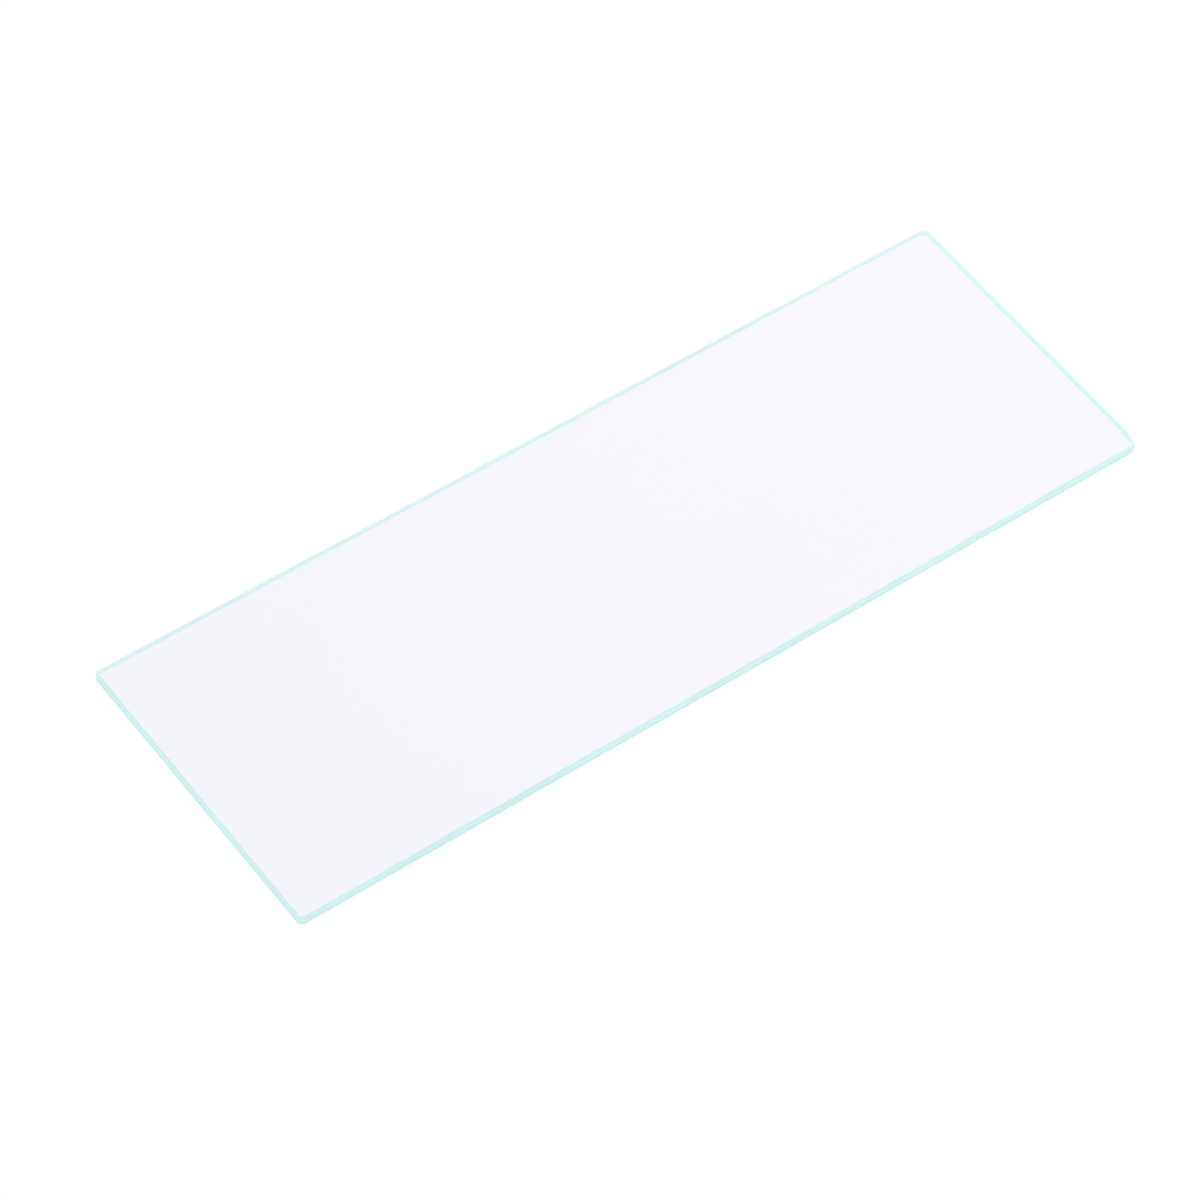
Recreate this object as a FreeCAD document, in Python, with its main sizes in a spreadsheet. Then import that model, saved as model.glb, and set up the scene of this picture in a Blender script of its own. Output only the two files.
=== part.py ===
"""A plain glass microscope slide: one rectangle of clear sheet glass, 3 inches by 1.

The sheet is cut to its outline, its four corners are nipped by hand, so that each nip differs a little,
and the sharp arrises round both faces are taken off on a seaming belt. A shallow, scooped flake has
broken off the upper arris of the right end, from the front corner back.

Millimetres. The origin is the middle of the underside, +X runs along the length, +Y goes from the front
long edge to the back one, and +Z points up through the face that takes the specimen.
"""

import FreeCAD, Part
import Sketcher
import math
import os

NODE = "glass_slide"
DIMENSIONS = {
    "length": 76.2,  # along X, 3 inches
    "width": 25.4,  # along Y, 1 inch
    "thickness": 1.0,  # of the sheet
    "seam": 0.1,  # leg of the 45 degree bevel round both faces
    "back_left_nip_x": 0.12,  # what each nip takes off the long edge
    "back_left_nip_y": 0.1,  # and off the short edge
    "back_right_nip_x": 0.45,
    "back_right_nip_y": 0.3,
    "front_left_nip_x": 0.3,
    "front_left_nip_y": 0.3,
    "front_right_nip_x": 0.58,
    "front_right_nip_y": 0.28,
    "flake_depth": 0.3,  # into the right end, in the upper face, at the front edge
    "flake_height": 0.8,  # down the right end, at the front edge
    "flake_shoulder_depth": 0.2,  # into the right end, where the flake turns to run out
    "flake_shoulder": 0.95,  # from the front edge to that turn
    "flake_length": 1.4,  # from the front edge to where the flake ends
}
DERIVED = {
    # The scoop is round about a line in the plane of the upper face, outside the right end.
    "scoop_radius": "=(flake_depth ^ 2 + flake_height ^ 2) / (2 * flake_depth)",  # at the front edge
    "scoop_clearance": "=scoop_radius - flake_depth",  # from the right end out to that line
}
OUTLINE = (  # the sides of the outline, anticlockwise
    "front", "front_right_nip", "right", "back_right_nip",
    "back", "back_left_nip", "left", "front_left_nip",
)
SCOOP = ("axis", "tail", "run_out", "floor", "mouth")  # the sides of the scoop's half section
SKETCH_ORIGIN = (-1, 1)  # as a constraint names it
ROUNDING = 1e-6  # of a direction, or of a volume in mm3


def make_sheet(doc):
    """The spreadsheet that drives every size, with each value's name beside it."""
    sheet = doc.addObject("Spreadsheet::Sheet", "dims")
    for row, (name, value) in enumerate({**DIMENSIONS, **DERIVED}.items(), start=1):
        sheet.set(f"A{row}", name)
        sheet.set(f"B{row}", str(value))
        sheet.setAlias(f"B{row}", name)
    doc.recompute()


def new_sketch(body, name, **offset):
    """A sketch on the body's ground plane, moved from it by what the sheet says."""
    sketch = body.newObject("Sketcher::SketchObject", name)
    ground = next(f for f in body.Origin.OriginFeatures if f.Role == "XY_Plane")
    sketch.AttachmentSupport = (ground, [""])
    sketch.MapMode = "FlatFace"
    for axis, expression in offset.items():
        sketch.setExpression(f"AttachmentOffset.Base.{axis}", expression)
    return sketch


class Chain:
    """A closed chain of lines in a sketch. It starts as a ring, and the sheet pulls it into place."""

    def __init__(self, sketch, names):
        turn = 2 * math.pi / len(names)
        ring = [
            FreeCAD.Vector(math.cos(k * turn), math.sin(k * turn), 0)
            for k in range(len(names))
        ]
        sides = [Part.LineSegment(a, b) for a, b in zip(ring, ring[1:] + ring[:1])]
        self.sketch = sketch
        self.side = dict(zip(names, sketch.addGeometry(sides, False)))
        for here, following in zip(names, names[1:] + names[:1]):
            self.hold("Coincident", *self.end(here), *self.start(following))

    def start(self, name):
        """The line's start, as a constraint names it."""
        return self.side[name], 1

    def end(self, name):
        """The line's end, as a constraint names it."""
        return self.side[name], 2

    def hold(self, kind, *what):
        """Adds a plain constraint, and returns its number."""
        return self.sketch.addConstraint(Sketcher.Constraint(kind, *what))

    def drive(self, kind, low, high, expression):
        """The sheet sets how far the point high lies past the point low, along X or along Y."""
        index = self.hold(kind, *low, *high, 1.0)
        self.sketch.setExpression(f"Constraints[{index}]", expression)


def draw_outline(sketch):
    """The sheet's outline, with its four nips."""
    chain = Chain(sketch, OUTLINE)
    start, end, drive = chain.start, chain.end, chain.drive
    for name in ("front", "back"):
        chain.hold("Horizontal", chain.side[name])
    for name in ("left", "right"):
        chain.hold("Vertical", chain.side[name])
    drive("DistanceX", start("left"), SKETCH_ORIGIN, "dims.length / 2")
    drive("DistanceX", start("left"), start("right"), "dims.length")
    drive("DistanceY", start("front"), SKETCH_ORIGIN, "dims.width / 2")
    drive("DistanceY", start("front"), start("back"), "dims.width")
    drive("DistanceX", end("left"), start("front"), "dims.front_left_nip_x")
    drive("DistanceY", start("front"), end("left"), "dims.front_left_nip_y")
    drive("DistanceX", start("left"), end("back"), "dims.back_left_nip_x")
    drive("DistanceY", start("left"), end("back"), "dims.back_left_nip_y")
    drive("DistanceX", start("back"), end("right"), "dims.back_right_nip_x")
    drive("DistanceY", end("right"), start("back"), "dims.back_right_nip_y")
    drive("DistanceX", end("front"), start("right"), "dims.front_right_nip_x")
    drive("DistanceY", end("front"), start("right"), "dims.front_right_nip_y")


def draw_scoop(sketch):
    """The scoop's half section. The sketch's upright axis is the line that it turns about."""
    chain = Chain(sketch, SCOOP)
    start, end, drive = chain.start, chain.end, chain.drive
    chain.hold("Coincident", *start("axis"), *SKETCH_ORIGIN)
    chain.hold("Vertical", chain.side["axis"])
    for name in ("tail", "mouth"):
        chain.hold("Horizontal", chain.side[name])
    drive("DistanceY", start("axis"), end("axis"), "dims.flake_length")
    drive("DistanceX", end("tail"), start("tail"), "dims.scoop_clearance")
    drive("DistanceX", end("run_out"), end("tail"), "dims.flake_shoulder_depth")
    drive("DistanceY", start("axis"), end("run_out"), "dims.flake_shoulder")
    drive("DistanceX", start("mouth"), end("mouth"), "dims.scoop_radius")


def face_name(shape, normal):
    """The name of the flat face that looks along normal."""
    for index, face in enumerate(shape.Faces, start=1):
        if face.normalAt(0, 0).isEqual(normal, ROUNDING):
            return f"Face{index}"
    raise RuntimeError(f"no face looks along {normal}")


def make_slide(doc):
    body = doc.addObject("PartDesign::Body", "Slide")
    body.Label = NODE

    outline = new_sketch(body, "Outline")
    draw_outline(outline)
    doc.recompute()
    blank = body.newObject("PartDesign::Pad", "Blank")
    blank.Profile = outline
    blank.setExpression("Length", "dims.thickness")
    doc.recompute()

    seam = body.newObject("PartDesign::Chamfer", "Seam")
    up = FreeCAD.Vector(0, 0, 1)
    seam.Base = (blank, [face_name(blank.Shape, up), face_name(blank.Shape, -up)])
    seam.setExpression("Size", "dims.seam")
    doc.recompute()

    section = new_sketch(
        body,
        "FlakeSection",
        x="dims.length / 2 + dims.scoop_clearance",
        y="-dims.width / 2",
        z="dims.thickness",
    )
    draw_scoop(section)
    doc.recompute()
    flake = body.newObject("PartDesign::Groove", "Flake")
    flake.Profile = section
    flake.ReferenceAxis = (section, ["V_Axis"])
    flake.Angle = 360
    body.Tip = flake
    body.Placement = FreeCAD.Placement()
    doc.recompute()
    if seam.Shape.Volume - flake.Shape.Volume < ROUNDING:
        raise RuntimeError("the flake takes no glass off")
    return body


def check(doc, body):
    """Stops before anything is written if a feature failed or the solid isn't whole."""
    failed = [o.Name for o in doc.Objects if {"Invalid", "Error"} & set(o.State)]
    if failed:
        raise RuntimeError(f"these objects failed: {failed}")
    shape = body.Shape
    if shape.isNull() or not shape.isValid() or len(shape.Solids) != 1:
        raise RuntimeError(f"{body.Label} isn't one valid solid")


def main():
    doc = FreeCAD.newDocument("microscope_slide")
    make_sheet(doc)
    slide = make_slide(doc)
    check(doc, slide)
    os.makedirs("parts", exist_ok=True)
    slide.Shape.exportStep(f"parts/{slide.Label}.step")
    box = slide.Shape.optimalBoundingBox()
    print(f"{slide.Label}: {box.XLength:.3f} x {box.YLength:.3f} x {box.ZLength:.3f} mm,"
          f" {slide.Shape.Volume:.1f} mm3, {len(slide.Shape.Faces)} faces")


main()
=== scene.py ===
"""A microscope slide: one clear glass plate with ground, faintly aqua cut edges.

Laid out as a Blender add-on and run as a script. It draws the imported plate
afresh in small faces, works its edges as a hand would, gives it its two finishes
and sets the stage.
"""

import math
import random

import bmesh
import bpy
from bpy.props import FloatProperty, FloatVectorProperty, IntProperty, PointerProperty
from mathutils import Matrix, Vector, noise
from mathutils.bvhtree import BVHTree


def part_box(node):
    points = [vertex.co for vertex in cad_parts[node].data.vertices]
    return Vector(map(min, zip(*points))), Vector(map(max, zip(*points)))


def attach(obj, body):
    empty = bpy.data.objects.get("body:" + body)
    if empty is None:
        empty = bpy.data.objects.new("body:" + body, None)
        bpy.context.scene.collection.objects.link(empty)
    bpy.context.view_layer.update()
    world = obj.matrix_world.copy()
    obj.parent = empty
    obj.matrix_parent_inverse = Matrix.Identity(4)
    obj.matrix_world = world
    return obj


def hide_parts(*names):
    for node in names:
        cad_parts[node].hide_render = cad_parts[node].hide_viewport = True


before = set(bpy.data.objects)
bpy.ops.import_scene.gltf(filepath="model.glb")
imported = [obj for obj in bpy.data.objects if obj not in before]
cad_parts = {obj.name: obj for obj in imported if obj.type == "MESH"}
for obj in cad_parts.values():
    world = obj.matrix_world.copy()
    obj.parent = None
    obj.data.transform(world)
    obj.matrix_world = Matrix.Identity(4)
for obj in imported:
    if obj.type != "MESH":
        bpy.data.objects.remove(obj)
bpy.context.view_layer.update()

bl_info = {
    "name": "Microscope slide",
    "version": (1, 0, 0),
    "blender": (4, 5, 0),
    "location": "3D View > Sidebar > Slide",
    "description": "Builds a plain glass microscope slide and a pale stage for it",
    "category": "Add Mesh",
}

NODE = "glass_slide"
PIECE = "slide_plate"
MM = 0.001
LOW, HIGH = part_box(NODE)
CENTRE = (LOW + HIGH) / 2
HALF = (HIGH - LOW) / 2
RIGHT = Vector((1, 0))
LEFT = Vector((-1, 0))
FRONT = Vector((0, -1))
BACK = Vector((0, 1))

# The plate's mesh.
POLISHED, CUT = 0, 1  # the plate's two material slots
WALL_ROWS = 8  # rows of faces up the wall
SEAM_ROWS = 2  # and up each seam
ROUND_STEPS = 3  # faces round each rubbed corner
PANELS = 8  # along each big face
FLAT = 0.95  # a face belongs to a big face if its normal is more upright than this
CREASE = math.radians(28)  # an edge that folds by more than this stays sharp
SAME = 1e-7  # points nearer than this are one point, in metres
HAIR = 0.001 * MM  # less than any form of the plate
ORDER = Vector((1.0, 1.7, 29.3))  # a skew direction, along which the mesh is ranked

# The flake at the right end.
FACES_RIGHT = 0.1  # it is looked for where the way out points right by more than this
EASINGS = 3  # how often the mesh round it is smoothed

# How the cut wanders: the lengths over which it does, and what is added to the slow wander.
SLOW_LENGTH = 3.1 * MM
QUICK_LENGTH = 0.55 * MM
SEAM_LENGTH = 1.3 * MM
BORDER_LENGTH = 1.7 * MM
UPRIGHT_PACE = 0.6  # how fast the slow wander varies up the wall, against along it
QUICK_SHARE = 0.28  # the quick wander, against the slow one
SEAM_SHARE = 0.9  # what an arris moves inwards by itself, against the slow wander

# The fine chips.
CHIP_RUN = 0.985  # share of each side's length on which they fall
CHIPS_ABOVE = 0.6  # share of them that is on the upper arris
CHIP_RADII = (0.10, 0.34)  # mm
CHIP_DRAW = (0.25, 1.0)  # a chip's depth is a number drawn between these,
CHIP_POWER = 1.5  # raised to this power, as a share of the deepest
CHIP_DROP = 0.7  # how far a chip pulls the wall's border with it, as a share of its depth

# The finishes.
LINES_FROM = (0.36, 0.64)  # the part of the noise that is stretched to make the lines
MOTTLE_FROM = (0.32, 0.68)  # and the part for the clouds and the frost
SPECK_CORE = 0.55  # share of a speck's radius that is fully covered
TINT_AND_SHADE_POWER = 0.75  # below 1, so that the tint and its painted shade change faster towards the left end
LINE_HEIGHT = 1.5  # of the grinding marks, against the frost's
END_ZONE = (0.1, 0.3)  # mm from an end, over which its further tint fades out

# The stage.
WHITE = (1.0, 1.0, 1.0)
FLOOR_GREY = (0.96, 0.96, 0.96)
FLOOR_WHITENED = 0.9  # share of the floor that the camera sees as plain white
FLOOR_REACH = 3.0  # from its middle to each side, in metres
FLOOR_GAP = 0.03 * MM  # between the slide and the floor
CEILING_STARTS = 0.74  # how steeply a ray must rise to meet the ceiling's rim
CEILING_FULL = 0.83  # and to meet the ceiling itself
SENSOR = 36  # mm
NEAREST = 0.01  # what the camera sees, in metres
FARTHEST = 20

# Nicks in the arrises: the side, place along it in mm from its middle, half length
# and depth in mm, and whether the upper arris has it.
NICKS = (
    (RIGHT, 5.3, 0.35, 0.060, True),
    (RIGHT, 5.0, 0.25, 0.045, False),
    (RIGHT, 3.1, 0.90, 0.035, False),
    (RIGHT, 0.3, 0.25, 0.040, False),
    (RIGHT, -0.5, 0.50, 0.050, True),
    (RIGHT, -5.7, 0.80, 0.030, False),
    (RIGHT, -7.5, 0.40, 0.050, True),
    (RIGHT, -8.8, 0.25, 0.030, False),
    (RIGHT, -11.65, 0.80, 0.100, False),
    (FRONT, 21.5, 0.35, 0.050, True),
    (BACK, -13.0, 0.30, 0.050, True),
    (LEFT, -3.4, 0.30, 0.040, True),
)

# Specks of dust on the upper face: place in mm from the middle, radius in mm, strength.
SPECKS = (
    ((-9.1, -5.3), 0.10, 0.8),
    ((-8.7, 6.9), 0.08, 0.5),
    ((24.4, -5.9), 0.08, 0.5),
)


class SlideGlassSettings(bpy.types.PropertyGroup):
    """The glass itself, seen through its polished faces."""

    # Painted shade and light: the glass is drawn darker at its left end and paler at its right, as
    # light falls along it; only the faint tint both ends share is the glass's own.
    left_tint_and_shade: FloatVectorProperty(
        name="Tint at the left",
        description="Tint of the glass towards its left end",
        subtype="COLOR",
        size=3,
        min=0,
        max=1,
        default=(0.911, 0.918, 0.970),
    )
    right_tint_and_light: FloatVectorProperty(
        name="Tint at the right",
        description="Tint of the glass towards its right end",
        subtype="COLOR",
        size=3,
        min=0,
        max=1,
        default=(0.954, 0.940, 0.986),
    )
    bending: FloatProperty(
        name="Index of refraction",
        description="How strongly soda-lime glass bends light",
        default=1.52,
        min=1.3,
        max=2.0,
    )
    haze: FloatProperty(
        name="Haze",
        description="Roughness that a wiped, polished face keeps",
        default=0.02,
        min=0,
        max=0.3,
    )
    dust: FloatVectorProperty(
        name="Dust",
        description="Colour of the specks on the upper face",
        subtype="COLOR",
        size=3,
        min=0,
        max=1,
        default=(0.72, 0.73, 0.76),
    )
    dust_roughness: FloatProperty(
        name="Dust roughness",
        description="Roughness of the specks on the upper face",
        subtype="FACTOR",
        default=0.4,
        min=0,
        max=1,
    )


class SlideEdgeSettings(bpy.types.PropertyGroup):
    """The cut and seamed edges."""

    aqua: FloatVectorProperty(
        name="Cut edge",
        description="Colour of the ground wall in its middle",
        subtype="COLOR",
        size=3,
        min=0,
        max=1,
        default=(0.636, 0.938, 0.932),
    )
    line: FloatVectorProperty(
        name="Arris line",
        description="Deeper colour along the wall's upper border",
        subtype="COLOR",
        size=3,
        min=0,
        max=1,
        default=(0.660, 0.872, 0.875),
    )
    # Painted shade: the dark foot line stands in for the floor's shadow along the wall's lower
    # border.
    foot_shade: FloatVectorProperty(
        name="Foot line",
        description="Deepest colour, along the wall's lower border",
        subtype="COLOR",
        size=3,
        min=0,
        max=1,
        default=(0.585, 0.800, 0.805),
    )
    # Partly painted highlight: the seam is drawn paler than the wall both as the frosted bevel's
    # own colour and as the glint along the arris.
    seam: FloatVectorProperty(
        name="Seam",
        description="Pale colour of the narrow bevel on the arris",
        subtype="COLOR",
        size=3,
        min=0,
        max=1,
        default=(0.90, 0.97, 0.98),
    )
    inner: FloatVectorProperty(
        name="Cut edge from within",
        description="Colour of the wall seen through the plate",
        subtype="COLOR",
        size=3,
        min=0,
        max=1,
        default=(0.815, 0.990, 0.975),
    )
    inner_line: FloatVectorProperty(
        name="Arris line from within",
        description="Deeper colour low on the wall, seen through the plate",
        subtype="COLOR",
        size=3,
        min=0,
        max=1,
        default=(0.750, 0.955, 0.935),
    )
    end_depth: FloatVectorProperty(
        name="Depth of the ends",
        description="Further tint of the two short ends seen down the length of the glass",
        subtype="COLOR",
        size=3,
        min=0,
        max=1,
        default=(0.93, 1.0, 0.985),
    )
    # Painted shade: the edges are drawn darker at the left end and paler at the right, as light
    # falls along the slide.
    shade_drift: FloatProperty(
        name="Drift",
        description="How much paler the edges are at the right end than at the left",
        subtype="FACTOR",
        default=0.055,
        min=0,
        max=0.3,
    )
    roughness: FloatProperty(
        name="Roughness",
        description="Roughness of the ground wall",
        default=0.42,
        min=0,
        max=1,
    )
    frost: FloatProperty(
        name="Frost",
        description="How much that roughness varies",
        default=0.16,
        min=0,
        max=0.5,
    )
    pitch: FloatProperty(
        name="Mesh pitch",
        description="Length of a mesh face along the edge",
        default=0.13 * MM,
        min=0.05 * MM,
        unit="LENGTH",
    )
    rounding: FloatProperty(
        name="Corner rounding",
        description="Radius to which the upright corners are rubbed",
        default=0.16 * MM,
        min=0,
        unit="LENGTH",
    )
    wander: FloatProperty(
        name="Wander",
        description="How far the cut wanders inwards from a true line",
        default=0.022 * MM,
        min=0,
        unit="LENGTH",
    )
    chips: IntProperty(
        name="Chips",
        description="Fine chips along the upper and lower arrises",
        default=150,
        min=0,
    )
    chip_depth: FloatProperty(
        name="Chip depth",
        description="Depth of the deepest fine chip",
        default=0.045 * MM,
        min=0,
        unit="LENGTH",
    )
    seed: IntProperty(
        name="Seed", description="Changes where the fine chips fall", default=7
    )


class SlideStageSettings(bpy.types.PropertyGroup):
    """Floor, light and camera."""

    fill: FloatProperty(
        name="Fill light",
        description="Strength of the even light from all round",
        default=0.96,
        min=0,
    )
    lamp_power: FloatProperty(
        name="Lamp power",
        description="Power of the soft lamp",
        default=0.45,
        min=0,
        unit="POWER",
    )
    lamp_size: FloatProperty(
        name="Lamp size",
        description="Side of the soft lamp",
        default=0.6,
        min=0.01,
        unit="LENGTH",
    )
    lamp_place: FloatVectorProperty(
        name="Lamp place",
        description="Where the soft lamp hangs",
        subtype="TRANSLATION",
        size=3,
        default=(-0.12, -0.12, 0.72),
    )
    ceiling: FloatVectorProperty(
        name="Ceiling",
        description="What the faces mirror from overhead",
        subtype="COLOR",
        size=3,
        min=0,
        max=1,
        default=(0.80, 0.86, 0.93),
    )
    aim: FloatVectorProperty(
        name="Aim",
        description="Point on the upper face that the camera looks at",
        subtype="TRANSLATION",
        size=3,
        default=(-4.42 * MM, -2.14 * MM, 1.0 * MM),
    )
    distance: FloatProperty(
        name="Distance",
        description="From the camera to its aim",
        default=373.51 * MM,
        min=0.01,
        unit="LENGTH",
    )
    azimuth: FloatProperty(
        name="Azimuth",
        description="Turn of the camera round the slide",
        subtype="ANGLE",
        default=math.radians(-42.588),
    )
    elevation: FloatProperty(
        name="Elevation",
        description="Height of the camera above the horizon",
        subtype="ANGLE",
        default=math.radians(52.484),
    )
    roll: FloatProperty(
        name="Roll",
        description="Tilt of the camera about its own axis",
        subtype="ANGLE",
        default=math.radians(7.104),
    )
    lens: FloatProperty(
        name="Lens",
        description="Focal length in mm on a 36 mm sensor",
        default=155.33,
        min=10,
    )


# ---------------------------------------------------------------- node helpers


def add(tree, kind, values=None, **settings):
    """A new node with plain input values by name or number, and its own settings."""
    made = tree.nodes.new(kind)
    for name, value in settings.items():
        setattr(made, name, value)
    for name, value in (values or {}).items():
        socket = made.inputs[name]
        if hasattr(value, "is_output"):
            tree.links.new(value, socket)
        else:
            socket.default_value = value
    return made


def maths(tree, operation, first, second=0.0, third=0.0):
    """The output of a Math node on numbers or sockets."""
    return add(
        tree,
        "ShaderNodeMath",
        {0: first, 1: second, 2: third},
        operation=operation,
    ).outputs[0]


def ranged(tree, value, low, high, to_low=0.0, to_high=1.0, smooth=False):
    """The output of a Map Range node, held to its ends."""
    return add(
        tree,
        "ShaderNodeMapRange",
        {
            "Value": value,
            "From Min": low,
            "From Max": high,
            "To Min": to_low,
            "To Max": to_high,
        },
        interpolation_type="SMOOTHSTEP" if smooth else "LINEAR",
    ).outputs["Result"]


def blended(tree, factor, first, second, kind="MIX"):
    """The colour output of a Mix node."""
    return add(
        tree,
        "ShaderNodeMix",
        {0: factor, 6: first, 7: second},
        data_type="RGBA",
        blend_type=kind,
    ).outputs[2]


def banded(tree, value, bands):
    """A colour that eases from band to band, given as (where, colour)."""
    made = add(tree, "ShaderNodeValToRGB", {0: value})
    ramp = made.color_ramp
    ramp.interpolation = "EASE"
    for number, (stop, colour) in enumerate(bands):
        mark = ramp.elements[number] if number < 2 else ramp.elements.new(stop)
        mark.position = stop
        mark.color = solid(colour)
    return made.outputs[0]


def solid(colour):
    """Three numbers as a colour with full alpha."""
    return (*colour, 1.0)


def between(tree, mask, start, end):
    """A value that goes from start to end as the mask goes from 0 to 1."""
    return maths(tree, "MULTIPLY_ADD", mask, end - start, start)


def shaded(tree, colour, shade):
    """The colour times one value for red, green and blue."""
    grey = add(tree, "ShaderNodeCombineColor", {0: shade, 1: shade, 2: shade})
    return blended(tree, 1.0, colour, grey.outputs[0], "MULTIPLY")


def either(tree, factor, first, second):
    """The output of a Mix Shader node."""
    return add(tree, "ShaderNodeMixShader", {0: factor, 1: first, 2: second}).outputs[0]


def background(tree, colour, strength=1.0):
    """The output of a Background node."""
    return add(
        tree, "ShaderNodeBackground", {"Color": colour, "Strength": strength}
    ).outputs[0]


def by_way_of_glass(tree, path):
    """1 for rays that glass has mirrored or let through, from a Light Path node's outputs."""
    return maths(tree, "MAXIMUM", path["Is Glossy Ray"], path["Is Transmission Ray"])


def new_group(name, inputs, outputs):
    """An empty shader node group with its sockets, given as (name, kind, default)."""
    group = bpy.data.node_groups.new(name, "ShaderNodeTree")
    for label, kind, value in inputs:
        socket = group.interface.new_socket(label, in_out="INPUT", socket_type=kind)
        if value is not None:
            socket.default_value = value
    for label, kind in outputs:
        group.interface.new_socket(label, in_out="OUTPUT", socket_type=kind)
    return (
        group,
        group.nodes.new("NodeGroupInput").outputs,
        group.nodes.new("NodeGroupOutput").inputs,
    )


def placed(tree, group, values):
    """A group node in a material, with its own values."""
    return add(tree, "ShaderNodeGroup", values, node_tree=group).outputs


def plate_mm(tree):
    """Object coordinates measured in millimetres."""
    place = add(tree, "ShaderNodeTexCoord").outputs["Object"]
    return add(
        tree, "ShaderNodeVectorMath", {0: place, "Scale": 1 / MM}, operation="SCALE"
    ).outputs[0]


# ---------------------------------------------------------------- shared effects


def streak_group():
    """Fine lines drawn out along one direction: grinding marks, or a cloth's wipe."""
    group, given, out = new_group(
        "slide streaks",
        (
            ("Vector", "NodeSocketVector", None),
            ("Lines per mm", "NodeSocketVector", (1, 1, 1)),
            ("Broken up", "NodeSocketFloat", 0.5),
        ),
        (("Lines", "NodeSocketFloat"), ("Height", "NodeSocketFloat")),
    )
    drawn = add(
        group,
        "ShaderNodeVectorMath",
        {0: given["Vector"], 1: given["Lines per mm"]},
        operation="MULTIPLY",
    ).outputs[0]
    fine = add(
        group,
        "ShaderNodeTexNoise",
        {"Vector": drawn, "Scale": 1.0, "Detail": 3.0, "Roughness": 0.55},
    ).outputs["Fac"]
    broad = add(
        group,
        "ShaderNodeTexNoise",
        {"Vector": drawn, "Scale": 0.31, "Detail": 1.0, "Roughness": 0.5},
    ).outputs["Fac"]
    height = add(
        group,
        "ShaderNodeMix",
        {0: given["Broken up"], 2: broad, 3: fine},
        data_type="FLOAT",
    ).outputs[0]
    group.links.new(height, out["Height"])
    group.links.new(ranged(group, height, *LINES_FROM, smooth=True), out["Lines"])
    return group


def mottle_group():
    """Two masks: soft, cloudy variation, and a finer frost."""
    group, given, out = new_group(
        "slide mottle",
        (
            ("Vector", "NodeSocketVector", None),
            ("Cloud size", "NodeSocketFloat", 6.0),
            ("Frost size", "NodeSocketFloat", 0.05),
        ),
        (("Cloud", "NodeSocketFloat"), ("Frost", "NodeSocketFloat")),
    )
    for label, detail in (("Cloud", 1.0), ("Frost", 2.0)):
        per_mm = maths(group, "DIVIDE", 1.0, given[f"{label} size"])
        value = add(
            group,
            "ShaderNodeTexNoise",
            {"Vector": given["Vector"], "Scale": per_mm, "Detail": detail},
        ).outputs["Fac"]
        group.links.new(ranged(group, value, *MOTTLE_FROM, smooth=True), out[label])
    return group


def speck_group():
    """One small round speck."""
    group, given, out = new_group(
        "slide speck",
        (
            ("Vector", "NodeSocketVector", None),
            ("Place", "NodeSocketVector", None),
            ("Radius", "NodeSocketFloat", 0.1),
            ("Strength", "NodeSocketFloat", 1.0),
        ),
        (("Mask", "NodeSocketFloat"),),
    )
    away = add(
        group,
        "ShaderNodeVectorMath",
        {0: given["Vector"], 1: given["Place"]},
        operation="DISTANCE",
    ).outputs["Value"]
    share = maths(group, "DIVIDE", away, given["Radius"])
    mask = ranged(group, share, SPECK_CORE, 1.0, 1.0, 0.0, smooth=True)
    group.links.new(maths(group, "MULTIPLY", mask, given["Strength"]), out["Mask"])
    return group


# ---------------------------------------------------------------- finishes


def polished_finish(settings, groups):
    """Clear, pale glass with the faint traces of a wipe and a few specks of dust, and painted
    shade that darkens it towards its left end.
    """
    finish = bpy.data.materials.new("polished_glass")
    finish.use_nodes = True
    tree = finish.node_tree
    shader = tree.nodes["Principled BSDF"]
    place = plate_mm(tree)
    along = add(tree, "ShaderNodeSeparateXYZ", {0: place}).outputs["X"]
    # Painted shade: the tint darkens from the right end towards the left end.
    share = ranged(tree, along, -HALF.x / MM, HALF.x / MM)
    painted_shade_share = maths(tree, "POWER", share, TINT_AND_SHADE_POWER)
    tint = blended(tree, painted_shade_share, solid(settings.left_tint_and_shade), solid(settings.right_tint_and_light))
    mottle = placed(tree, groups["mottle"], {"Vector": place, "Cloud size": 14.0})
    wipe = placed(
        tree,
        groups["streaks"],
        {"Vector": place, "Lines per mm": (0.09, 1.6, 0.5), "Broken up": 0.35},
    )
    tint = shaded(tree, tint, between(tree, mottle["Cloud"], 1.0, 0.997))
    dusty = None
    for (x, y), radius, strength in SPECKS:
        mask = placed(
            tree,
            groups["speck"],
            {
                "Vector": place,
                "Place": (x, y, HIGH.z / MM),
                "Radius": radius,
                "Strength": strength,
            },
        )["Mask"]
        dusty = mask if dusty is None else maths(tree, "MAXIMUM", dusty, mask)
    tint = blended(tree, dusty, tint, solid(settings.dust))
    tree.links.new(tint, shader.inputs["Base Color"])
    wiped = maths(tree, "MULTIPLY", wipe["Lines"], settings.haze)
    dulled = maths(tree, "MULTIPLY", dusty, settings.dust_roughness)
    tree.links.new(maths(tree, "MAXIMUM", wiped, dulled), shader.inputs["Roughness"])
    bump = add(
        tree,
        "ShaderNodeBump",
        {"Strength": 0.05, "Distance": 0.002 * MM, "Height": wipe["Height"]},
    )
    tree.links.new(bump.outputs[0], shader.inputs["Normal"])
    shader.inputs["IOR"].default_value = settings.bending
    shader.inputs["Transmission Weight"].default_value = 1.0
    return finish


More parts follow.
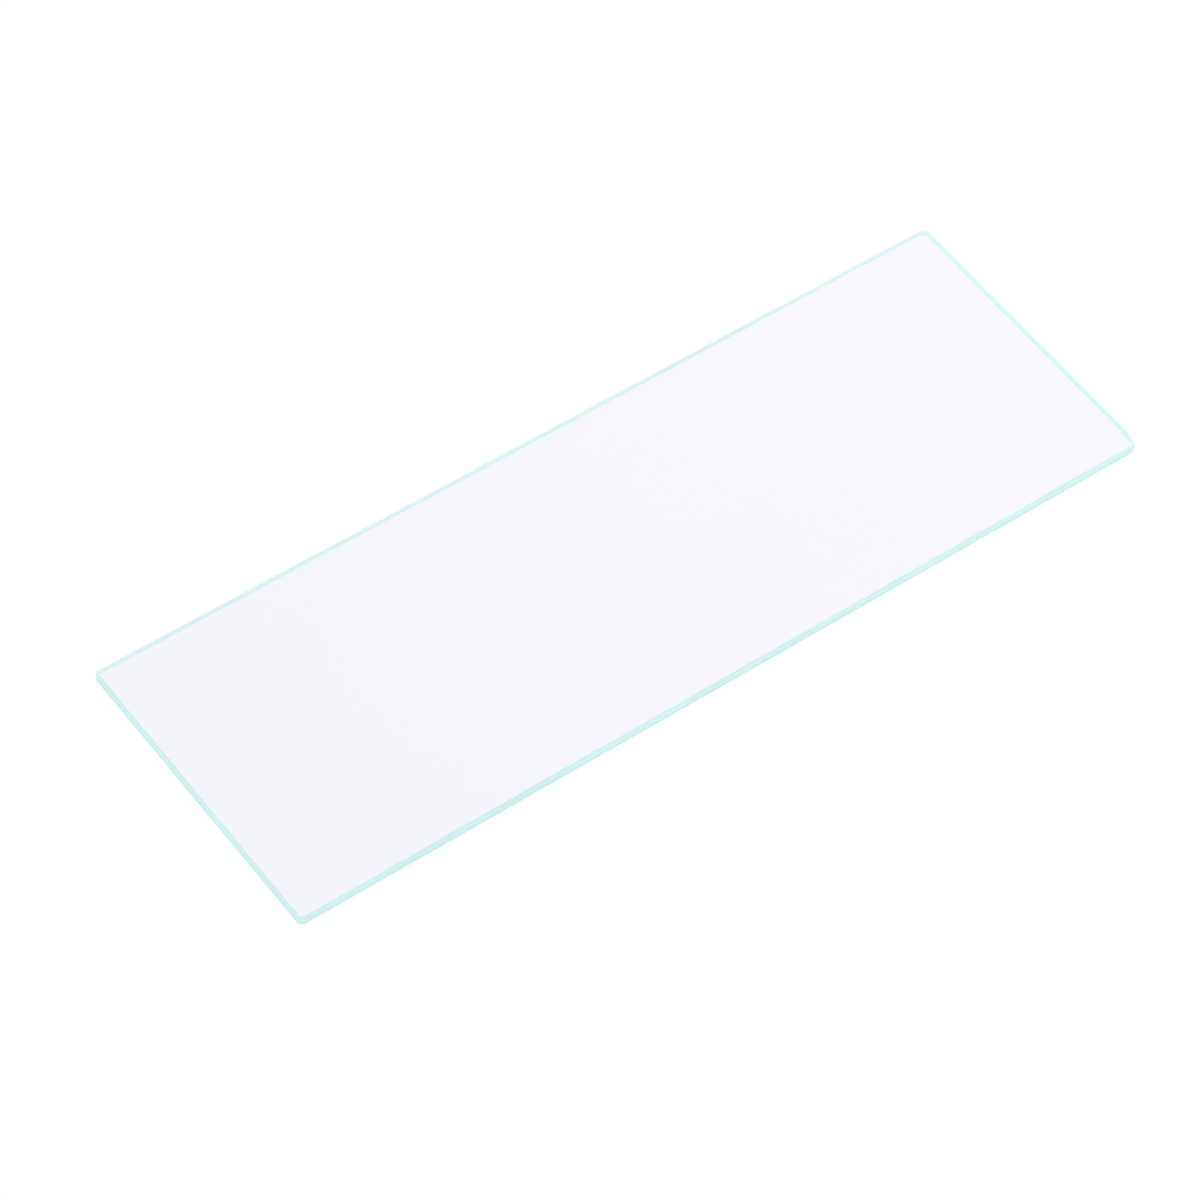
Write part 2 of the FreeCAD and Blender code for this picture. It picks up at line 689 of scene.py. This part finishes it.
def cut_finish(settings, groups, bending):
    """Ground glass: frosty aqua from outside, with painted shade along its foot and towards its
    left end and a partly painted highlight on the seam, and lit from behind when seen through the
    plate.
    """
    finish = bpy.data.materials.new("cut_edge")
    finish.use_nodes = True
    tree = finish.node_tree
    shader = tree.nodes["Principled BSDF"]
    place = plate_mm(tree)
    split = add(tree, "ShaderNodeSeparateXYZ", {0: place}).outputs
    share = ranged(tree, split["Z"], LOW.z / MM, HIGH.z / MM)
    outside = banded(
        tree,
        share,
        (
            # Painted shade: the foot line along the wall's lower border.
            (0.17, settings.foot_shade),
            (0.32, settings.aqua),
            (0.74, settings.aqua),
            (0.86, settings.line),
            (0.94, settings.line),
            # Painted highlight, in part: the pale seam along the top arris.
            (1.00, settings.seam),
        ),
    )
    within = banded(
        tree,
        share,
        (
            (0.02, settings.seam),
            (0.08, settings.inner_line),
            (0.25, settings.inner_line),
            (0.60, settings.inner),
        ),
    )
    lines = placed(
        tree,
        groups["streaks"],
        {"Vector": place, "Lines per mm": (0.45, 0.45, 9.0), "Broken up": 0.6},
    )
    mottle = placed(
        tree, groups["mottle"], {"Vector": place, "Cloud size": 1.6, "Frost size": 0.07}
    )
    ground = between(tree, lines["Lines"], 0.965, 1.015)
    clouded = between(tree, mottle["Cloud"], 0.985, 1.015)
    half = HALF.x / MM
    # Painted shade: darker towards the left end, paler towards the right.
    shade_drift = ranged(
        tree, split["X"], -half, half, 1 - settings.shade_drift / 2, 1 + settings.shade_drift / 2
    )
    shade = maths(tree, "MULTIPLY", maths(tree, "MULTIPLY", ground, clouded), shade_drift)
    tree.links.new(shaded(tree, outside, shade), shader.inputs["Base Color"])
    smoothest = settings.roughness - settings.frost / 2
    rough = between(tree, mottle["Frost"], smoothest, smoothest + settings.frost)
    tree.links.new(rough, shader.inputs["Roughness"])
    relief = maths(tree, "MULTIPLY_ADD", lines["Height"], LINE_HEIGHT, mottle["Frost"])
    bump = add(
        tree,
        "ShaderNodeBump",
        {"Strength": 0.35, "Distance": 0.01 * MM, "Height": relief},
    )
    tree.links.new(bump.outputs[0], shader.inputs["Normal"])
    shader.inputs["IOR"].default_value = bending
    shader.inputs["Transmission Weight"].default_value = 0.0
    from_end = maths(tree, "SUBTRACT", half, maths(tree, "ABSOLUTE", split["X"]))
    ends = ranged(tree, from_end, *END_ZONE, 1.0, 0.0, smooth=True)
    within = shaded(tree, within, shade)
    within = blended(tree, ends, within, solid(settings.end_depth), "MULTIPLY")
    glow = add(tree, "ShaderNodeBsdfTranslucent", {"Color": within}).outputs[0]
    from_within = add(tree, "ShaderNodeNewGeometry").outputs["Backfacing"]
    both = either(tree, from_within, shader.outputs[0], glow)
    tree.links.new(both, tree.nodes["Material Output"].inputs["Surface"])
    return finish


# ---------------------------------------------------------------- the plate


def is_polished(face):
    """True for the two big faces and their panels."""
    return abs(face.normal.z) > FLAT


def outward(vert):
    """The level direction that points out of the plate at this vertex of its edge."""
    ways = [f.normal.xy.normalized() for f in vert.link_faces if not is_polished(f)]
    return sum(ways, Vector((0, 0))).normalized()


def corners_at(shape, level):
    """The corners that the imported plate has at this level, anticlockwise."""
    found = [v.co.xy for v in shape.verts if abs(v.co.z - level) < HAIR]
    return sorted(found, key=lambda p: math.atan2(p.y - CENTRE.y, p.x - CENTRE.x))


def rises(edge):
    """True for an edge that isn't level."""
    return abs(edge.verts[0].co.z - edge.verts[1].co.z) > HAIR


def drawn_outline(shape, corners, settings):
    """One flat face on these corners, with each rubbed round, and its sides in short edges."""
    corners = [shape.verts.new(corner) for corner in corners]
    shape.faces.new(corners)
    for corner in corners:
        reach = settings.rounding * math.tan(corner.calc_edge_angle() / 2)
        bmesh.ops.bevel(
            shape,
            geom=[corner],
            offset=reach,
            offset_type="OFFSET",
            segments=ROUND_STEPS,
            profile=0.5,
            affect="VERTICES",
            material=-1,
        )
    for edge in shape.edges[:]:
        cuts = round(edge.calc_length() / settings.pitch) - 1
        if cuts > 0:
            bmesh.ops.subdivide_edges(shape, edges=[edge], cuts=cuts)


def drawn_plate(packed, settings):
    """The plate in small faces: its outline raised to a wall, and seams inset above and below."""
    foot_level = min(v.co.z for v in packed.verts if v.co.z > LOW.z + HAIR)
    seam = foot_level - LOW.z
    shape = bmesh.new()
    corners = [(*spot, foot_level) for spot in corners_at(packed, foot_level)]
    drawn_outline(shape, corners, settings)
    raised = bmesh.ops.extrude_face_region(shape, geom=shape.faces[:])["geom"]
    bmesh.ops.translate(
        shape,
        verts=[v for v in raised if isinstance(v, bmesh.types.BMVert)],
        vec=(0, 0, HIGH.z - LOW.z - 2 * seam),
    )
    bmesh.ops.subdivide_edges(
        shape,
        edges=[e for e in shape.edges if rises(e)],
        cuts=WALL_ROWS - 1,
        use_grid_fill=True,
    )
    bmesh.ops.recalc_face_normals(shape, faces=shape.faces[:])
    for big_face in [f for f in shape.faces if is_polished(f)]:
        for _ in range(SEAM_ROWS):
            bmesh.ops.inset_region(
                shape,
                faces=[big_face],
                thickness=seam / SEAM_ROWS,
                depth=seam / SEAM_ROWS,
                use_even_offset=True,
            )
    shape.normal_update()
    return shape


def cut_into_panels(shape):
    """Divides the two big faces, so that neither is one face with a very long border."""
    size = HIGH - LOW
    cuts = [(LOW + size * n / PANELS, Vector((1, 0, 0))) for n in range(1, PANELS)]
    cuts.append((CENTRE, Vector((0, 1, 0))))
    for point, way in cuts:
        faces = [f for f in shape.faces if is_polished(f)]
        edges = {e for f in faces for e in f.edges}
        verts = {v for f in faces for v in f.verts}
        bmesh.ops.bisect_plane(
            shape,
            geom=[*verts, *edges, *faces],
            dist=SAME,
            plane_co=point,
            plane_no=way,
        )


def flaked(shape, packed):
    """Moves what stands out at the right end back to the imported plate's skin, and eases it."""
    skin = BVHTree.FromBMesh(packed)
    moved = set()
    for vert in shape.verts:
        if vert.co.x < CENTRE.x or outward(vert).x < FACES_RIGHT:
            continue
        start = Vector((HIGH.x + MM, vert.co.y, min(vert.co.z, HIGH.z - HAIR)))
        hit = skin.ray_cast(start, Vector((-1, 0, 0)))[0]
        if hit is not None and hit.x < vert.co.x - HAIR:
            vert.co.x = hit.x
            moved.add(vert)
    near = {other for vert in moved for edge in vert.link_edges for other in edge.verts}
    for _ in range(EASINGS):
        bmesh.ops.smooth_vert(shape, verts=list(near), factor=0.5, use_axis_x=True)


def fine_chips(settings):
    """Where the fine chips fall: centre, radius and depth, on the upper or lower arris."""
    draw = random.Random(settings.seed)
    found = []
    for _ in range(settings.chips):
        long_side = draw.random() < HALF.x / (HALF.x + HALF.y)
        way = draw.choice((-1, 1))
        run = draw.uniform(-CHIP_RUN, CHIP_RUN)
        level = HIGH.z if draw.random() < CHIPS_ABOVE else LOW.z
        radius = draw.uniform(*CHIP_RADII) * MM
        depth = settings.chip_depth * draw.uniform(*CHIP_DRAW) ** CHIP_POWER
        if long_side:
            centre = Vector((run * HALF.x, way * HALF.y, level))
        else:
            centre = Vector((way * HALF.x, run * HALF.y, level))
        found.append((centre, radius, depth))
    return found


def nicks():
    """The larger nicks, given in the same way."""
    found = []
    for side, run, reach, depth, upper in NICKS:
        across = Vector((abs(side.x), abs(side.y)))
        edge = side * HALF.xy.dot(across) + across.yx * run * MM
        level = HIGH.z if upper else LOW.z
        found.append((Vector((*edge, level)), reach * MM, depth * MM))
    return found


def wave(spot, length, shift=(0, 0, 0)):
    """Smooth noise from -1 to 1 over about this length. Another shift is another pattern."""
    return noise.noise((spot + Vector(shift)) / length)


def swell(spot, length, shift=(0, 0, 0)):
    """The same noise from 0 to 1."""
    return 0.5 + 0.5 * wave(spot, length, shift)


def wandered(spot, on_arris):
    """How far inwards the cut lies here, as a share of the wander. An arris lies further in."""
    flattened = Vector((spot.x, spot.y, spot.z * UPRIGHT_PACE))
    inward = swell(flattened, SLOW_LENGTH) + QUICK_SHARE * wave(spot, QUICK_LENGTH, (1, 0, 0))
    if on_arris:
        inward += SEAM_SHARE * swell(spot, SEAM_LENGTH, (0, 2, 0))
    return max(inward, 0.0)


def drawn_in(spot):
    """How far the wall is drawn to its mid height here, in the same share: most at its borders."""
    off_middle = (spot.z - CENTRE.z) / HALF.z
    return off_middle**3 * swell(spot, BORDER_LENGTH, (0, 0, 3))


def bitten(spot, chips):
    """How far the chips take this point inwards, and how far they would pull it upwards."""
    inward = 0.0
    up = 0.0
    for centre, radius, depth in chips:
        away = (spot - centre).length / radius
        if away >= 1:
            continue
        bite = depth * math.sqrt(1 - away * away)
        inward += bite
        up += bite * CHIP_DROP * (-1 if centre.z > CENTRE.z else 1)
    return inward, up


def worked_by_hand(shape, settings):
    """Lets the cut wander, the seams vary in width, and the arrises chip."""
    chips = fine_chips(settings) + nicks()
    moves = {}
    for vert in shape.verts:
        if all(is_polished(f) for f in vert.link_faces):
            continue
        on_arris = any(is_polished(f) for f in vert.link_faces)
        inward, up = bitten(vert.co, chips)
        inward += settings.wander * wandered(vert.co, on_arris)
        up -= settings.wander * drawn_in(vert.co)
        if on_arris:
            up = 0.0
        moves[vert] = Vector((*(-inward * outward(vert)), up))
    for vert, move in moves.items():
        vert.co += move


def put_in_order(shape):
    """Orders the mesh by place, because extruding gives it another order on each run."""

    def rank(verts):
        middle = sum((v.co for v in verts), Vector()) / len(verts)
        return middle.dot(ORDER)

    shape.verts.sort(key=lambda vert: rank([vert]))
    shape.edges.sort(key=lambda edge: rank(edge.verts))
    shape.faces.sort(key=lambda face: rank(face.verts))


def built_plate(settings):
    """The plate's mesh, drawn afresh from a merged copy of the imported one."""
    packed = bmesh.new()
    packed.from_mesh(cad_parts[NODE].data)
    bmesh.ops.remove_doubles(packed, verts=packed.verts[:], dist=SAME)
    shape = drawn_plate(packed, settings)
    cut_into_panels(shape)
    flaked(shape, packed)
    packed.free()
    shape.normal_update()
    worked_by_hand(shape, settings)
    shape.normal_update()
    for face in shape.faces:
        face.smooth = True
        face.material_index = POLISHED if is_polished(face) else CUT
    for edge in shape.edges:
        faces = edge.link_faces
        if len(faces) != 2:
            raise RuntimeError("the plate's mesh is open")
        edge.smooth = (
            faces[0].material_index == faces[1].material_index
            and edge.calc_face_angle() < CREASE
        )
    put_in_order(shape)
    mesh = bpy.data.meshes.new(PIECE)
    shape.to_mesh(mesh)
    shape.free()
    return mesh


class SLIDE_OT_plate(bpy.types.Operator):
    """Build the glass plate with its cut, seamed and nipped edges"""

    bl_idname = "slide.plate"
    bl_label = "Glass plate"
    bl_options = {"REGISTER", "UNDO"}

    def execute(self, context):
        scene = context.scene
        groups = {
            "streaks": streak_group(),
            "mottle": mottle_group(),
            "speck": speck_group(),
        }
        mesh = built_plate(scene.slide_edge)
        mesh.materials.append(polished_finish(scene.slide_glass, groups))
        mesh.materials.append(
            cut_finish(scene.slide_edge, groups, scene.slide_glass.bending)
        )
        plate = bpy.data.objects.new(PIECE, mesh)
        scene.collection.objects.link(plate)
        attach(plate, "root")
        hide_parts(NODE)
        return {"FINISHED"}


# ---------------------------------------------------------------- the stage


def floor_finish():
    """A pale floor that shows nearly white and keeps a trace of the shadow. Clear from below."""
    finish = bpy.data.materials.new("pale_floor")
    finish.use_nodes = True
    tree = finish.node_tree
    tree.nodes.clear()
    out = tree.nodes.new("ShaderNodeOutputMaterial")
    path = add(tree, "ShaderNodeLightPath").outputs
    seen = maths(tree, "MULTIPLY", path["Is Camera Ray"], FLOOR_WHITENED)
    whitened = maths(tree, "MAXIMUM", by_way_of_glass(tree, path), seen)
    lit = add(tree, "ShaderNodeBsdfDiffuse", {"Color": solid(FLOOR_GREY)}).outputs[0]
    white = add(tree, "ShaderNodeEmission", {"Strength": 1.0}).outputs[0]
    above = either(tree, whitened, lit, white)
    below = add(tree, "ShaderNodeBsdfTransparent").outputs[0]
    from_below = add(tree, "ShaderNodeNewGeometry").outputs["Backfacing"]
    tree.links.new(either(tree, from_below, above, below), out.inputs["Surface"])
    return finish


def studio_world(settings):
    """Even light from all round; white to the camera, and a dimmer ceiling in mirrors."""
    world = bpy.data.worlds.new("studio")
    world.use_nodes = True
    tree = world.node_tree
    tree.nodes.clear()
    out = tree.nodes.new("ShaderNodeOutputWorld")
    path = add(tree, "ShaderNodeLightPath").outputs
    way = add(tree, "ShaderNodeTexCoord").outputs["Generated"]
    rise = add(tree, "ShaderNodeSeparateXYZ", {0: way}).outputs["Z"]
    overhead = ranged(tree, rise, CEILING_STARTS, CEILING_FULL)
    room = blended(tree, overhead, solid(WHITE), solid(settings.ceiling))
    fill = background(tree, solid(WHITE), settings.fill)
    indoors = either(tree, by_way_of_glass(tree, path), fill, background(tree, room))
    white = background(tree, solid(WHITE))
    shown = either(tree, path["Is Camera Ray"], indoors, white)
    tree.links.new(shown, out.inputs["Surface"])
    return world


def made_floor():
    """A square floor just under the slide."""
    shape = bmesh.new()
    bmesh.ops.create_grid(shape, x_segments=1, y_segments=1, size=FLOOR_REACH)
    bmesh.ops.translate(shape, verts=shape.verts[:], vec=(0, 0, LOW.z - FLOOR_GAP))
    mesh = bpy.data.meshes.new("floor")
    shape.to_mesh(mesh)
    shape.free()
    mesh.materials.append(floor_finish())
    return bpy.data.objects.new("floor", mesh)


def made_lamp(settings):
    """A square soft lamp that points at the slide."""
    light = bpy.data.lights.new("soft_lamp", "AREA")
    light.shape = "SQUARE"
    light.size = settings.lamp_size
    light.energy = settings.lamp_power
    lamp = bpy.data.objects.new("soft_lamp", light)
    lamp.location = settings.lamp_place
    lamp.rotation_euler = (CENTRE - lamp.location).to_track_quat("-Z", "Y").to_euler()
    return lamp


def made_camera(settings):
    """A camera that looks at its aim from round the slide and above it."""
    turn = settings.azimuth
    rise = settings.elevation
    back = Vector(
        (
            math.sin(turn) * math.cos(rise),
            -math.cos(turn) * math.cos(rise),
            math.sin(rise),
        )
    )
    camera = bpy.data.objects.new("camera", bpy.data.cameras.new("camera"))
    camera.data.sensor_width = SENSOR
    camera.data.lens = settings.lens
    camera.data.clip_start = NEAREST
    camera.data.clip_end = FARTHEST
    upright = (-back).to_track_quat("-Z", "Y").to_matrix()
    rolled = upright @ Matrix.Rotation(settings.roll, 3, "Z")
    place = Matrix.Translation(Vector(settings.aim) + back * settings.distance)
    camera.matrix_world = place @ rolled.to_4x4()
    return camera


class SLIDE_OT_stage(bpy.types.Operator):
    """Set up the pale floor, the soft light and the camera"""

    bl_idname = "slide.stage"
    bl_label = "Stage"
    bl_options = {"REGISTER", "UNDO"}

    def execute(self, context):
        scene = context.scene
        settings = scene.slide_stage
        floor = made_floor()
        scene.collection.objects.link(floor)
        scene.world = studio_world(settings)
        scene.collection.objects.link(made_lamp(settings))
        scene.camera = made_camera(settings)
        scene.collection.objects.link(scene.camera)
        scene.view_settings.view_transform = "Standard"
        return {"FINISHED"}


class SLIDE_PT_panel(bpy.types.Panel):
    """Lists the slide's sizes, colours and building steps"""

    bl_label = "Microscope slide"
    bl_idname = "SLIDE_PT_panel"
    bl_space_type = "VIEW_3D"
    bl_region_type = "UI"
    bl_category = "Slide"

    def draw(self, context):
        layout = self.layout
        for heading, settings in (
            ("Glass", context.scene.slide_glass),
            ("Edges", context.scene.slide_edge),
            ("Stage", context.scene.slide_stage),
        ):
            box = layout.box()
            box.label(text=heading)
            for name in settings.bl_rna.properties.keys():
                if name not in ("rna_type", "name"):
                    box.prop(settings, name)
        layout.operator(SLIDE_OT_plate.bl_idname)
        layout.operator(SLIDE_OT_stage.bl_idname)


CLASSES = (
    SlideGlassSettings,
    SlideEdgeSettings,
    SlideStageSettings,
    SLIDE_OT_plate,
    SLIDE_OT_stage,
    SLIDE_PT_panel,
)


def register():
    for each in CLASSES:
        bpy.utils.register_class(each)
    bpy.types.Scene.slide_glass = PointerProperty(type=SlideGlassSettings)
    bpy.types.Scene.slide_edge = PointerProperty(type=SlideEdgeSettings)
    bpy.types.Scene.slide_stage = PointerProperty(type=SlideStageSettings)


def unregister():
    del bpy.types.Scene.slide_stage
    del bpy.types.Scene.slide_edge
    del bpy.types.Scene.slide_glass
    for each in reversed(CLASSES):
        bpy.utils.unregister_class(each)


def main():
    register()
    bpy.ops.slide.plate()
    bpy.ops.slide.stage()


if __name__ == "__main__":
    main()
